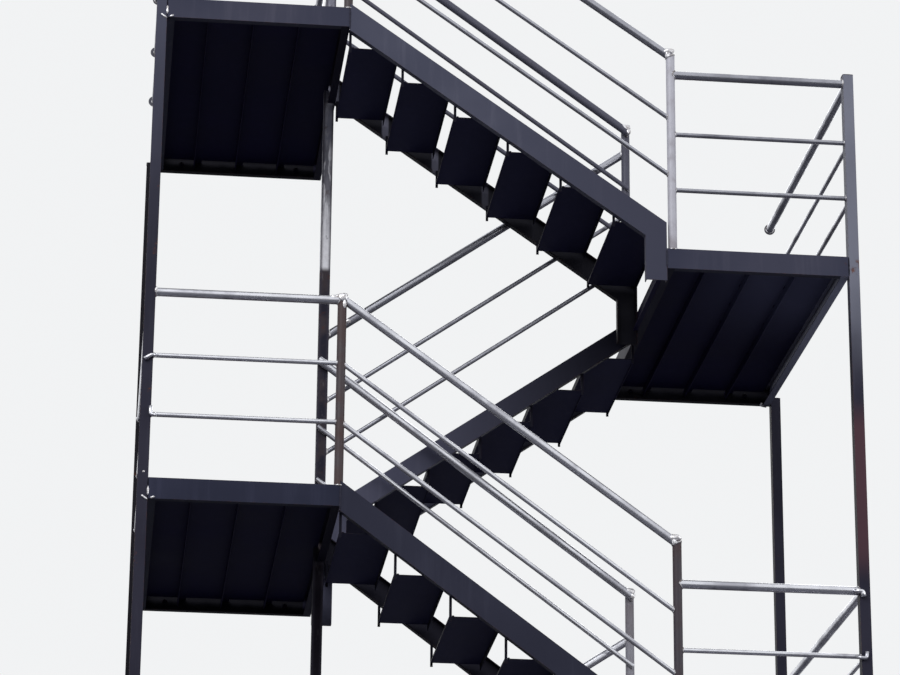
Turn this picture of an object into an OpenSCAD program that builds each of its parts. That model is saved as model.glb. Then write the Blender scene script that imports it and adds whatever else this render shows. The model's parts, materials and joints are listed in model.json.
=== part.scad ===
// Outdoor fire escape stair of welded steel: two lanes of straight flights that turn at
// landings, carried by tube posts. X runs along the wall, Y from the street to the wall,
// Z up. Origin: on the ground, at the middle of the footprint.

/* [Flights] */
// Risers in each flight
risers = 7; // [5:1:9]
// Going from one riser to the next
going = 305; // [240:5:340]
// Rise of each of the flights below the fifth
lower_rise = 1395; // [1100:5:1550]
// Rise of the fifth flight
fifth_rise = 1570; // [1200:5:1650]
// Rise of the sixth flight
sixth_rise = 1485; // [1200:5:1650]
// Rise of the seventh flight
top_rise = 1395; // [1200:5:1650]
// Width of a lane, over its two stringers
lane_w = 1100; // [800:10:1400]
// Gap between the two lanes, which the middle post fills
lane_gap = 60; // [60:2:100]

/* [Landings] */
// Length of a landing along the wall
landing_len = 1050; // [800:10:1400]
// Depth of the deck below the top edge of its channel frame
deck_recess = 35; // [15:1:60]
// Thickness of the deck plate
deck_t = 5; // [3:0.5:10]
// Leg of the bearer angles under a deck
bearer_leg = 50; // [30:5:60]
// Thickness of the bearer angles
bearer_t = 5; // [3:0.5:8]
// Bearers under a deck
bearers = 3; // [1:1:5]
// How far a landing reaches behind the rear lane, to the wall
landing_rear = 80; // [0:5:150]

/* [Channel] */
// Height of the steel channel of a landing frame
chan_h = 120; // [100:5:150]
// Height of a front stringer's channel
string_h = 138; // [110:2:160]
// Height of a rear stringer's channel
rear_string_h = 116; // [100:2:160]
// Width of the upright leg at a stringer's foot
leg_w = 122; // [100:2:160]
// Width of the channels' flanges
chan_flange = 45; // [35:1:60]
// Thickness of their webs and flanges
chan_t = 5; // [3:0.5:8]
// Height of a front stringer above the landing frame at its head
head_lift = 26; // [0:1:60]
// Height of a rear stringer above the landing frame at its head
rear_head_lift = 0; // [0:1:60]
// How much lower the top flight's stringers are set at their foot
top_foot_drop = 68; // [0:1:90]
// How far a stringer's foot reaches below the landing frame
foot_below = 75; // [10:5:90]

/* [Treads] */
// Depth of a tread plate
tread_d = 290; // [230:5:300]
// Thickness of a tread plate
tread_t = 4; // [3:0.5:8]
// Height of the folded nosing
nosing_h = 40; // [20:1:60]
// Height of the folded rear lip
lip_h = 12; // [8:1:40]
// Width of the flat bars that hang a tread's rear edge
hanger_w = 15; // [10:1:40]
// How far those bars reach below the tread
hanger_below = 28; // [10:1:40]
// Thickness of those bars
hanger_t = 5; // [3:0.5:10]

/* [Posts] */
// Side of the square post tube
post_w = 60; // [50:2:100]
// How far a corner post stands above its top rail
post_over = 40; // [20:5:100]
// Side of a base plate
plate_w = 180; // [160:5:240]
// Thickness of a base plate
plate_t = 12; // [8:1:20]
// Spacing of the anchor bolt holes, both ways
bolt_spacing = 130; // [110:5:190]
// Diameter of the anchor bolt holes
bolt_hole_d = 14; // [10:1:22]
// Diameter of the wall anchor holes in a frame's rear web
wall_hole_d = 18; // [10:1:24]
// Distance of a wall anchor hole from the frame's end
wall_hole_in = 160; // [80:10:300]

/* [Guards] */
// Height of the top rail above a landing frame
rail_1_h = 1100; // [900:10:1200]
// Height of the middle rail
rail_2_h = 720; // [500:10:860]
// Height of the low rail
rail_3_h = 375; // [150:5:480]
// Height of the top rail above a flight's foot
foot_rail_1_h = 1095; // [900:5:1200]
// Height of the middle rail above a flight's foot
foot_rail_2_h = 700; // [500:5:860]
// Height of the low rail above a flight's foot
foot_rail_3_h = 345; // [150:5:480]
// Drop of the top flight's rails at their foot
top_rail_drop = 25; // [0:1:100]
// Height of a landing's level top rail
level_rail_1_h = 1087; // [900:1:1200]
// Height of a landing's level middle rail
level_rail_2_h = 714; // [500:1:860]
// Height of a landing's level low rail
level_rail_3_h = 369; // [150:1:480]
// Height of the top rail between the lanes
inner_rail_1_h = 1062; // [850:1:1200]
// Height of the middle rail between the lanes
inner_rail_2_h = 652; // [480:1:800]
// Height of the low rail between the lanes
inner_rail_3_h = 330; // [120:1:460]
// Height of the middle rail between the lanes on the top flight
top_inner_2_h = 698; // [480:1:800]
// Drop of the rails between the lanes at the foot of a front flight
inner_foot_drop = 45; // [0:1:100]
// Drop of the upper two of them on the top flight
top_inner_drop = 83; // [0:1:120]
// Drop of them on a rear flight
rear_foot_drop = 10; // [0:1:100]
// Diameter of the top rails
rail_d = 48.3; // [33:0.1:54]
// Diameter of the middle and low rails
bar_d = 26.9; // [18:0.1:34]
// Diameter of the guard posts and newels
newel_d = 50.8; // [42:0.1:60]
// How far a guard post at a flight's head laps the stringer
post_lap = 16; // [1:1:25]
// How far the rails between the lanes lap the middle post
column_lap = 55; // [10:1:59]
// Gap between a landing's end and the outer newel
newel_in = 12; // [2:1:60]
// Distance of the newel between the lanes from the landing's end
inner_newel_in = 53; // [30:1:120]
// Diameter of the round flange where a rail meets the wall
rose_d = 70; // [60:5:120]
// Thickness of that flange
rose_t = 5; // [4:1:12]

/* [Fit] */
// Clearance between pieces that stand against each other
gap = 0.3; // [0.1:0.1:1]
// Clearance of a frame or deck round the middle post
notch_gap = 0.5; // [0.2:0.1:3]

/* [Hidden] */
$fn = 48;
flights = 7;
cut = 1;
paint = [0.20, 0.21, 0.25];
bare = [0.62, 0.64, 0.67];
scraped = [0.45, 0.40, 0.37];
dark = [0.12, 0.12, 0.16];

run = (risers - 1) * going;
depth = 2 * lane_w + lane_gap + landing_rear;
plate_proud = (plate_w - post_w) / 2;
y_middle = (depth - plate_proud) / 2;
head_x = run / 2;
post_in = head_x + landing_len;
post_x = post_in + post_w / 2;
rail_h = [rail_1_h, rail_2_h, rail_3_h];
foot_rail_h = [foot_rail_1_h, foot_rail_2_h, foot_rail_3_h];
level_rail_h = [level_rail_1_h, level_rail_2_h, level_rail_3_h];
inner_rail_h = [inner_rail_1_h, inner_rail_2_h, inner_rail_3_h];
rail_ds = [rail_d, bar_d, bar_d];

// The middle post stands just inside the left landings, between the lanes, far enough back
// for the front flight's rails to lap it and the newels alike
column_in = 8;
column_back = 4;
column_x = -head_x - column_in - post_w / 2;
column_y = lane_w + lane_gap / 2 + column_back;

// Guard planes: over the front channel, and in the gap between the lanes, where the rails of
// a front flight and of a rear one pass on the two sides of a newel
guard_y = newel_d / 2;
inner_y = lane_w + newel_d / 2 + gap;
lap_y = column_y - post_w / 2 - gap;
rail_side = (rail_d + gap) / 2;
newel_x = head_x + newel_d / 2 + newel_in;
elbow_over = 1.2;
inner_newel_x = head_x - inner_newel_in;
guard_post_x = head_x + newel_d / 2 - post_lap;

// Heights: the landing's deck, and the top edge of its frame
function rise(i) = i < 5 ? lower_rise : i == 5 ? fifth_rise : i == 6 ? sixth_rise : top_rise;
function level(i) = i == 0 ? 0 : level(i - 1) + rise(i);
function frame_top(i) = i == 0 ? 0 : level(i) + deck_recess;
function is_left(i) = i % 2 == 1;
function side(i) = is_left(i) ? -1 : 1;
function riser(i) = rise(i) / risers;

// A stringer's top line, x from the head (0) to the foot (run)
function lift(i) = is_left(i) ? head_lift : rear_head_lift;
function channel_h(i) = is_left(i) ? string_h : rear_string_h;
function head_z(i) = frame_top(i) + lift(i);
function foot_z(i) = level(i - 1) + deck_recess + lift(i) + riser(i) - (i == flights ? top_foot_drop : 0);
function fall(i) = (head_z(i) - foot_z(i)) / run;
function top_z(i, x) = head_z(i) - fall(i) * x;
function upright(i, t) = t * sqrt(1 + fall(i) * fall(i));
function foot_end_z(i) = i == 1 ? 0 : frame_top(i - 1) - chan_h - foot_below;

// Puts a piece made from the front plane into the part's own frame
module placed() {
    translate([0, -y_middle, 0])
        children();
}

// Puts a flight made from its head at x = 0 into its lane
module in_lane(i) {
    placed()
        if (is_left(i))
            translate([-head_x, 0, 0])
                children();
        else
            translate([head_x, 0, 0])
                mirror([1, 0, 0])
                    children();
}

// Round bar from point p to point q
module rod(p, q, d) {
    v = q - p;
    translate(p)
        rotate([0, acos(v[2] / norm(v)), atan2(v[1], v[0])])
            cylinder(d = d, h = norm(v));
}

module base_plate() {
    difference() {
        translate([-plate_w / 2, -plate_w / 2, 0])
            cube([plate_w, plate_w, plate_t]);
        for (dx = [-1, 1], dy = [-1, 1])
            translate([dx * bolt_spacing / 2, dy * bolt_spacing / 2, -cut])
                cylinder(d = bolt_hole_d, h = plate_t + 2 * cut);
    }
}

// Square tube at (x, y) on a plate whose middle is at plate_y
module post(x, y, plate_y, top) {
    foot = plate_t + gap;
    translate([x, plate_y, 0])
        base_plate();
    translate([x - post_w / 2, y - post_w / 2, foot])
        cube([post_w, post_w, top - foot]);
}

// Post height that reaches over the top rail of landing i
function guard_top(i) = frame_top(i) + rail_1_h + post_over;
// Post height that laps the side of the frame of landing i
function lap_top(i) = frame_top(i) - chan_h + post_over;

module front_posts() {
    color(paint)
        placed() {
            post(-post_x, post_w / 2, post_w / 2, guard_top(7));
            post(post_x, post_w / 2, post_w / 2, guard_top(6));
        }
}

// The plates of the rear posts stop at the wall
module back_posts() {
    color(paint)
        placed() {
            post(-post_x, depth - post_w / 2, depth - plate_w / 2, lap_top(7));
            post(post_x, depth - post_w / 2, depth - plate_w / 2, lap_top(6));
        }
}

module middle_post() {
    color(scraped)
        placed()
            post(column_x, column_y, column_y, guard_top(7));
}

// Room for the middle post through a left landing
module column_notch(bottom, top) {
    w = post_w + 2 * notch_gap;
    translate([column_x - w / 2, column_y - w / 2, bottom])
        cube([w, w, top - bottom]);
}

// Channels with their webs outward, mitred into a ring
module landing_frame(i) {
    x0 = is_left(i) ? -post_in : head_x;
    z0 = frame_top(i) - chan_h;
    color(paint)
        placed()
            difference() {
                translate([x0, 0, z0])
                    cube([landing_len, depth, chan_h]);
                translate([x0 + chan_t, chan_t, z0 + chan_t])
                    cube([landing_len - 2 * chan_t, depth - 2 * chan_t, chan_h - 2 * chan_t]);
                translate([x0 + chan_flange, chan_flange, z0 - cut])
                    cube([landing_len - 2 * chan_flange, depth - 2 * chan_flange, chan_h + 2 * cut]);
                if (is_left(i))
                    column_notch(z0 - cut, frame_top(i) + cut);
                for (x = [x0 + wall_hole_in, x0 + landing_len - wall_hole_in])
                    translate([x, depth + cut, z0 + chan_h / 2])
                        rotate([90, 0, 0])
                            cylinder(d = wall_hole_d, h = chan_t + 2 * cut);
            }
}

// Deck plate between the flanges, on angles that run from web to web
module landing_deck(i) {
    x0 = is_left(i) ? -post_in : head_x;
    z = level(i);
    pitch = landing_len / (bearers + 1);
    color(dark)
        placed()
            difference() {
                union() {
                    translate([x0 + chan_flange + gap, chan_flange + gap, z - deck_t])
                        cube([landing_len - 2 * (chan_flange + gap), depth - 2 * (chan_flange + gap), deck_t]);
                    for (k = [1:bearers])
                        translate([x0 + k * pitch, chan_t, z - deck_t])
                            rotate([-90, 0, 0])
                                linear_extrude(depth - 2 * chan_t)
                                    bearer_profile();
                }
                if (is_left(i))
                    column_notch(z - deck_t - bearer_leg - cut, z + cut);
            }
}

module bearer_profile() {
    translate([-bearer_leg / 2, 0])
        square([bearer_leg, bearer_t]);
    translate([-bearer_leg / 2, 0])
        square([bearer_t, bearer_leg]);
}

// Level rails along the front and the outer side, cut to fit the round posts
module landing_guard(i) {
    s = side(i);
    end_x = is_left(i) ? guard_post_x : newel_x;
    to_wall = i > 5;
    side_end = to_wall ? depth : depth - post_w;
    color(bare)
        placed() {
            difference() {
                for (j = [0:2])
                    rod([s * end_x, guard_y, frame_top(i) + level_rail_h[j]],
                        [s * post_in, guard_y, frame_top(i) + level_rail_h[j]], rail_ds[j]);
                translate([s * end_x, guard_y, frame_top(i)])
                    cylinder(d = newel_d + 2 * gap, h = rail_1_h + rail_d);
                if (is_left(i))
                    translate([s * end_x, guard_y, frame_top(i) + rail_1_h])
                        sphere(d = newel_d + elbow_over + 2 * gap);
            }
            for (j = [0:2]) {
                z = frame_top(i) + level_rail_h[j];
                rod([s * post_x, post_w, z], [s * post_x, side_end, z], rail_ds[j]);
                if (to_wall)
                    rod([s * post_x, depth - rose_t, z], [s * post_x, depth, z], rose_d);
            }
            if (i == 7)
                for (j = [0:2]) {
                    z = frame_top(i) + level_rail_h[j];
                    rod([column_x, column_y + post_w / 2, z], [column_x, depth, z], rail_ds[j]);
                    rod([column_x, depth - rose_t, z], [column_x, depth, z], rose_d);
                }
        }
}

// Outline of a stringer, inset by t on its edges and long by e at its open ends
module stringer_outline(i, t, e) {
    leg = run - leg_w;
    v = upright(i, channel_h(i));
    d = upright(i, t);
    bottom = foot_end_z(i) - e;
    polygon([
        [-e, top_z(i, -e) - d],
        [run - t, top_z(i, run - t) - d],
        [run - t, bottom],
        [leg + t, bottom],
        [leg + t, top_z(i, leg + t) - v + d],
        [-e, top_z(i, -e) - v + d]
    ]);
}

// Channel stringer with its web at y = 0 and its flanges towards +Y
module stringer(i) {
    difference() {
        translate([0, chan_flange, 0])
            rotate([90, 0, 0])
                linear_extrude(chan_flange)
                    stringer_outline(i, 0, 0);
        translate([0, chan_flange + cut, 0])
            rotate([90, 0, 0])
                linear_extrude(chan_flange - chan_t + cut)
                    stringer_outline(i, chan_t, cut);
    }
    if (i == 1)
        translate([run - leg_w, 0, 0])
            cube([leg_w, chan_flange, 2 * chan_t]);
}

function lane_y(i) = is_left(i) ? 0 : lane_w + lane_gap;

module flight_stringers(i) {
    color(paint)
        in_lane(i)
            translate([0, lane_y(i), 0]) {
                stringer(i);
                translate([0, lane_w, 0])
                    mirror([0, 1, 0])
                        stringer(i);
            }
}

// Folded pan: nosing in front, lip behind, hung at its rear corners from the stringers
module tread(i, k) {
    x0 = (k - 1) * going;
    z = level(i) - k * riser(i);
    w = lane_w - 2 * chan_flange;
    translate([x0, chan_flange, 0]) {
        translate([0, w, 0])
            rotate([90, 0, 0])
                linear_extrude(w)
                    polygon([
                        [0, z], [tread_d, z], [tread_d, z - nosing_h],
                        [tread_d - tread_t, z - nosing_h], [tread_d - tread_t, z - tread_t],
                        [tread_t, z - tread_t], [tread_t, z - lip_h], [0, z - lip_h]
                    ]);
        for (y = [0, w - hanger_t])
            translate([0, y, z - hanger_below])
                cube([hanger_w, hanger_t, hanger_top(i, x0) - z + hanger_below]);
    }
}

// A hanger laps the edge of the stringer's lower flange
function hanger_top(i, x) = top_z(i, x) - upright(i, channel_h(i) - 2 * chan_t);

module flight_treads(i) {
    color(dark)
        in_lane(i)
            translate([0, lane_y(i), 0])
                for (k = [1:risers - 1])
                    tread(i, k);
}

// Rail height at x on the line from the head post to the foot newel
function rail_z(i, j, x, x1) =
    let (a = frame_top(i) + rail_h[j],
         b = foot_z(i) - lift(i) + head_lift + foot_rail_h[j] - (i == flights ? top_rail_drop : 0))
        a + (b - a) * (x - x1) / (run - x1);

// The rails between the lanes keep under those on the street side, and fall away at the foot
function inner_h(i, j) = i == flights && j == 1 ? top_inner_2_h : inner_rail_h[j];
function inner_drop(i, j) =
    !is_left(i) ? rear_foot_drop : i == flights && j < 2 ? top_inner_drop : inner_foot_drop;
function inner_z(i, j, x, x1) =
    let (a = frame_top(i) + inner_h(i, j),
         b = foot_z(i) - lift(i) + head_lift + inner_h(i, j) - inner_drop(i, j))
        a + (b - a) * (x - x1) / (run - x1);

// Guard on the street side: post at the head, newel at the foot, three rails. The post stands
// on the landing frame and is cut to fit over the stringer's head.
module outer_guard(i) {
    x1 = head_x - guard_post_x;
    x2 = run + newel_x - head_x;
    newel_foot = frame_top(i - 1);
    difference() {
        translate([x1, guard_y, frame_top(i)])
            cylinder(d = newel_d, h = rail_1_h);
        translate([0, 2 * guard_y, 0])
            rotate([90, 0, 0])
                linear_extrude(3 * guard_y)
                    polygon([
                        [-gap, frame_top(i) - cut], [-gap, top_z(i, -gap) + 2 * gap],
                        [newel_d, top_z(i, newel_d) + 2 * gap], [newel_d, frame_top(i) - cut]
                    ]);
    }
    translate([x1, guard_y, frame_top(i) + rail_1_h])
        sphere(d = newel_d + elbow_over);
    translate([x2, guard_y, newel_foot])
        cylinder(d = newel_d, h = rail_z(i, 0, x2, x1) - newel_foot);
    translate([x2, guard_y, rail_z(i, 0, x2, x1)])
        sphere(d = newel_d + elbow_over);
    for (j = [0:2])
        rod([x1, guard_y, rail_z(i, j, x1, x1)], [x2, guard_y, rail_z(i, j, x2, x1)], rail_ds[j]);
    if (i == 1)
        translate([x2, guard_y, 0])
            cylinder(d = 2 * guard_y, h = 2 * chan_t);
}

// Guard between the lanes: rails that lap the street side of the middle post at their head,
// and of a newel against the front lane at their foot
module inner_guard(i) {
    x1 = -column_in;
    x2 = run - head_x + inner_newel_x;
    head = x1 - column_lap;
    foot = x2 + newel_d / 4;
    newel_foot = max(0, foot_end_z(i) + foot_below);
    newel_top = inner_z(i, 0, x2, x1) + rail_d / 2;
    translate([x2, inner_y, newel_foot])
        cylinder(d = newel_d, h = newel_top - newel_foot);
    for (j = [0:2]) {
        y = lap_y - rail_ds[j] / 2;
        rod([head, y, inner_z(i, j, head, x1)], [foot, y, inner_z(i, j, foot, x1)], rail_ds[j]);
    }
}

// Guard of a rear flight: three rails from the next flight's newel to the middle post
module rear_guard(i) {
    x1 = head_x - inner_newel_x;
    x2 = run + column_in;
    y = inner_y + rail_side;
    difference() {
        for (j = [0:2])
            rod([x1, y, inner_z(i, j, x1, x1)],
                [x2 + rail_d, y, inner_z(i, j, x2 + rail_d, x1)], rail_ds[j]);
        translate([x1, inner_y, level(i)])
            cylinder(d = newel_d + 2 * gap, h = 2 * rail_1_h);
        translate([x2, y - rail_d, level(i - 1)])
            cube([2 * rail_d, 2 * rail_d, rise(i) + rail_1_h]);
    }
}

module flight_guards(i) {
    color(bare)
        in_lane(i)
            if (is_left(i)) {
                outer_guard(i);
                inner_guard(i);
            } else {
                rear_guard(i);
            }
}

front_posts();
middle_post();
back_posts();
for (i = [1:flights]) {
    landing_frame(i);
    landing_deck(i);
    landing_guard(i);
    flight_stringers(i);
    flight_treads(i);
    flight_guards(i);
}
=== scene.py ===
"""Looks of an outdoor steel fire escape stair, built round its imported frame.

Paint, rust and bare tube are procedural. Weld beads and lumps, bent rail tips, foot angles,
anchors, post lids and the raised pattern of the walking plates are surfaces worked out with
numpy.
"""

import json
import math

import bpy
import numpy as np
from mathutils import Matrix, Vector


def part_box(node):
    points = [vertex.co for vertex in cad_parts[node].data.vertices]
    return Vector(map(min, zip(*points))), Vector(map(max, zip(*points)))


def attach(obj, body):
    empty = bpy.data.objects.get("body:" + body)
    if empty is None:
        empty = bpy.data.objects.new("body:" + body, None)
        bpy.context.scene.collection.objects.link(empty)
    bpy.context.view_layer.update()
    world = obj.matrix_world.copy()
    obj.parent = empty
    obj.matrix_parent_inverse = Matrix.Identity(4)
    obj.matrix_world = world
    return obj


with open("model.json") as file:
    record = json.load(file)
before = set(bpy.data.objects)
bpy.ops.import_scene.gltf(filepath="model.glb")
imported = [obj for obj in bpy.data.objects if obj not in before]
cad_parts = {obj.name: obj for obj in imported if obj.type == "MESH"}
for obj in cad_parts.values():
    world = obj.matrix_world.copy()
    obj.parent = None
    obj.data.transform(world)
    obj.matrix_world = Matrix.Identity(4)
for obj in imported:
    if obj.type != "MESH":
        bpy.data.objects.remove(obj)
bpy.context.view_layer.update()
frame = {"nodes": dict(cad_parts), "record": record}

bl_info = {
    "name": "Fire Escape Stair",
    "version": (1, 0, 0),
    "blender": (4, 5, 0),
    "location": "3D View > Sidebar > Stair",
    "description": "Finishes, welds, anchors and chequer plate of a steel fire escape stair",
    "category": "Object",
}

NODES = frame["nodes"]
FLIGHTS = range(1, 8)
RISERS = 7


# Sizes in metres: levels and ends come from the frame, the others are those of its source

def span(node):
    """Lowest and highest corner of a CAD node as two numpy rows."""
    low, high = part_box(node)
    return np.array(low), np.array(high)


FRAME_BOX = {i: span(f"landing_{i}_frame") for i in FLIGHTS}
DECK = {0: 0.0} | {i: float(span(f"landing_{i}_deck")[1][2]) for i in FLIGHTS}
FRAME_LOW, FRAME_TOP = ({0: 0.0} | {i: float(FRAME_BOX[i][k][2]) for i in FLIGHTS} for k in (0, 1))
HEAD_X, END_X = (float(corner[0]) for corner in FRAME_BOX[2])
FRONT_Y, WALL_Y = (float(corner[1]) for corner in FRAME_BOX[2])
RUN = 2 * HEAD_X
GOING = RUN / (RISERS - 1)
LANE_W, LANE_GAP = 1.1, 0.06
FLANGE, WEB = 0.045, 0.005
FRONT_STRING_H, REAR_STRING_H = 0.138, 0.116
FRONT_LIFT, TOP_FOOT_DROP = 0.026, 0.068
TREAD_D, HANGER_W = 0.290, 0.015
POST_W, POST_OVER, PLATE_W, PLATE_T, BOLT_SPACING = 0.060, 0.040, 0.180, 0.012, 0.130
RAIL_H, FOOT_RAIL_H = (1.100, 0.720, 0.375), (1.095, 0.700, 0.345)
LEVEL_RAIL_H, INNER_RAIL_H = (1.087, 0.714, 0.369), (1.062, 0.652, 0.330)
TOP_RAIL_DROP, TOP_INNER_2_H = 0.025, 0.698
INNER_FOOT_DROP, TOP_INNER_DROP, REAR_FOOT_DROP = 0.045, 0.083, 0.010
RAIL_R, NEWEL_R, RAIL_SIDE, DISC_T = (0.02415, 0.01345, 0.01345), 0.0254, 0.0243, 0.005
POST_LAP, COLUMN_IN, COLUMN_BACK, COLUMN_LAP = 0.016, 0.008, 0.004, 0.055
GUARD_Y = FRONT_Y + NEWEL_R
INNER_Y = FRONT_Y + LANE_W + NEWEL_R + 0.0003
NEWEL_X = HEAD_X + NEWEL_R + 0.012
GUARD_POST_X = HEAD_X + NEWEL_R - POST_LAP
INNER_NEWEL_X = HEAD_X - 0.053
POST_X = END_X + POST_W / 2
COLUMN_X = -HEAD_X - COLUMN_IN - POST_W / 2
COLUMN_Y = FRONT_Y + LANE_W + LANE_GAP / 2 + COLUMN_BACK
LAP_Y = COLUMN_Y - POST_W / 2

# Distances along a flight from its head to the tubes at the ends of its rails
HEAD_POST, FOOT_NEWEL = HEAD_X - GUARD_POST_X, RUN + NEWEL_X - HEAD_X
INNER_HEAD, INNER_FOOT = HEAD_X - INNER_NEWEL_X, RUN - HEAD_X + INNER_NEWEL_X

# Welds, anchors and lids
INSET = 0.002
CORNER_BEAD = 0.0065
STITCH, STITCH_PITCH, STITCH_START, STITCH_END = 0.055, 0.24, 0.14, 0.1
BEARER_STITCH, BEARER_PITCH, TREAD_STITCH = 0.05, 0.31, 0.014
DECK_T, BEARER_HALF_W = 0.005, 0.025
FACE_GAP, LAP_HALF, LAP_BACK = 0.001, 0.011, 0.003
FOOT_ANCHOR_D, WALL_ANCHOR_D, WALL_ANCHOR_IN = 0.012, 0.016, 0.16
ANGLE_T, ANGLE_TALL = 0.004, 1.6
CHEQUER_EDGE, CHEQUER_SUNK = 0.01, 0.0004
RING_STEPS, BEAD_STEPS, LUMP_ROWS, ROUND_STEPS = 22, 6, 9, 14

# Lid of a square post, as (up from its top, in from its faces)
LID = ((-0.001, 0.003), (0.003, 0.003), (0.004, 0.0045))

# Bent tips: rail, thickness, and the path as (outwards, up) from the edge of the front post
LEFT_TIPS = (
    (1, 1.0, ((-0.020, -0.004), (-0.004, -0.010), (0.012, -0.012), (0.046, -0.036))),
    (2, 1.0, ((-0.030, -0.004), (-0.016, -0.012), (0.000, -0.012), (0.002, 0.036))),
)
RIGHT_TIPS = (
    (0, 1.3, ((-0.030, -0.004), (-0.010, -0.010), (0.014, -0.012), (0.019, -0.042))),
    (1, 1.0, ((-0.030, -0.004), (-0.010, -0.014), (0.023, -0.016), (0.027, 0.020))),
)

# Weld lumps: place from a joint, and half sizes. Those of the head post lie on its round face.
HEAD_LUMPS = (
    ((0.002, -0.002), (0.026, 0.009, 0.022)),
    ((0.012, -0.036), (0.011, 0.007, 0.028)),
    ((-0.024, 0.000), (0.020, 0.009, 0.018)),
    ((0.016, 0.012), (0.014, 0.008, 0.012)),
    ((-0.046, 0.000), (0.020, 0.008, 0.012)),
)
NEWEL_LUMPS = (((-0.010, -0.020, 0.029), (0.033, 0.011, 0.017)),
               ((-0.021, -0.018, 0.010), (0.011, 0.010, 0.026)))
INNER_NEWEL_LUMPS = (((-0.009, -0.036, 0.022), (0.033, 0.012, 0.020)),
                     ((0.010, -0.044, -0.006), (0.013, 0.008, 0.018)))
LEFT_POST_LUMPS = (((0.003, 0.004, LEVEL_RAIL_H[0] + 0.006), (0.009, 0.008, 0.019)),
                   ((-0.026, 0.003, 0.032), (0.008, 0.006, 0.007)))

# Half sizes of the lumps of a rear flight, and how far the first one lies from the middle post
REAR_LUMP, COLUMN_LUMP, REAR_LUMP_X = (0.018, 0.011, 0.014), (0.012, 0.008, 0.020), 0.106

# Bead under the right rear corner of landing 6, as (in from its end, in from the wall)
REAR_CORNER = ((0.064, 0.068), (0.060, 0.022), (0.022, 0.007))

# Beads on the street face of a left landing's outer corner, from (x, z) to (x, z)
CORNER_BEADS = (((-0.034, 0.018), (0.000, -0.008)), ((0.016, 0.002), (0.040, 0.012)),
                ((0.002, 0.018), (0.002, 0.070)))

# Camera and lamps: degrees, pixels of the 900 wide picture, and watts
EYE, YAW, PITCH, ROLL = (-2.2001, FRONT_Y - 17.8685, 1.5998), 6.0087, 19.8096, 0.5464
FOCAL, IMAGE_W, SENSOR_W = 3420.1, 900, 36.0
LAMPS = (("key", (-9.0, -13.0, 17.0), 9.0, 1500.0), ("fill", (12.0, -9.0, 9.0), 8.0, 500.0),
         ("back", (4.0, 12.0, 16.0), 9.0, 600.0))
LAMP_AIM, FLOOR_HALF = (0, 0, 7), 150.0


def climbs_left(i):
    """True in the front lane, where flights climb to the left and end at left landings."""
    return i % 2 == 1


def side(i):
    """-1 for a landing on the left, 1 for one on the right."""
    return -1 if climbs_left(i) else 1


def riser(i):
    return (DECK[i] - DECK[i - 1]) / RISERS


def upstand(i):
    """How far a landing frame stands above its deck. The ground, landing 0, is given that of
    landing 7."""
    return FRAME_TOP[i or 7] - DECK[i or 7]


def lift(i):
    """Height of a stringer's head above its landing frame."""
    return FRONT_LIFT if climbs_left(i) else 0.0


def top_z(i, x):
    """Height of a stringer's top line at x from its head."""
    head = FRAME_TOP[i] + lift(i)
    foot = DECK[i - 1] + upstand(i - 1) + lift(i) + riser(i) - (TOP_FOOT_DROP if i == 7 else 0)
    return head + (foot - head) * x / RUN


def string_h(i):
    """Height of an upright cut through a stringer, which is taller than one square to it."""
    square = FRONT_STRING_H if climbs_left(i) else REAR_STRING_H
    return square * math.hypot(1, (top_z(i, 0) - top_z(i, RUN)) / RUN)


def lane_x(i, x):
    """Row X of the point x from a flight's head."""
    return -HEAD_X + x if climbs_left(i) else HEAD_X - x


def lane_y(i):
    return FRONT_Y if climbs_left(i) else FRONT_Y + LANE_W + LANE_GAP


def rail_point(i, j, x):
    """Point of rail j on the street side, x from a flight's head."""
    a, b = FRAME_TOP[i] + RAIL_H[j], top_z(i, RUN) + FOOT_RAIL_H[j]
    b -= TOP_RAIL_DROP if i == 7 else 0
    z = a + (b - a) * (x - HEAD_POST) / (RUN - HEAD_POST)
    return np.array((lane_x(i, x), GUARD_Y, z))


def inner_point(i, j, x, y):
    """Point of rail j between the lanes, x from a flight's head; it falls away to the foot."""
    start, drop = (-COLUMN_IN, INNER_FOOT_DROP) if climbs_left(i) else (INNER_HEAD, REAR_FOOT_DROP)
    drop = TOP_INNER_DROP if i == 7 and j < 2 else drop
    h = TOP_INNER_2_H if i == 7 and j == 1 else INNER_RAIL_H[j]
    a, b = FRAME_TOP[i] + h, top_z(i, RUN) - lift(i) + FRONT_LIFT + h - drop
    return np.array((lane_x(i, x), y, a + (b - a) * (x - start) / (RUN - start)))


# Surfaces

def loft(rows):
    """Closed skin over rows of points (n, m, 3), each row a closed loop; the first and last row
    are shut with a fan round their mean. Returns points and triangles."""
    n, m = rows.shape[:2]
    points = np.concatenate([rows.reshape(-1, 3), rows[0].mean(0)[None], rows[-1].mean(0)[None]])
    k = np.arange(n * m).reshape(n, m)
    first = np.stack([np.full(m, n * m), np.roll(k[0], -1), k[0]], -1)
    last = np.stack([np.full(m, n * m + 1), k[-1], np.roll(k[-1], -1)], -1)
    return outward(points, np.concatenate([strips(k[:-1], k[1:]), first, last]))


def ring(rows):
    """Closed skin over rows of points (n, m, 3) where the rows close on each other too."""
    k = np.arange(rows.shape[0] * rows.shape[1]).reshape(rows.shape[:2])
    return outward(rows.reshape(-1, 3), strips(k, np.roll(k, -1, 0)))


def strips(a, b):
    """Two triangles for each cell between the rows of point numbers a and b."""
    quads = np.stack([a, np.roll(a, -1, 1), np.roll(b, -1, 1), b], -1).reshape(-1, 4)
    return np.concatenate([quads[:, [0, 1, 2]], quads[:, [0, 2, 3]]])


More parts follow.
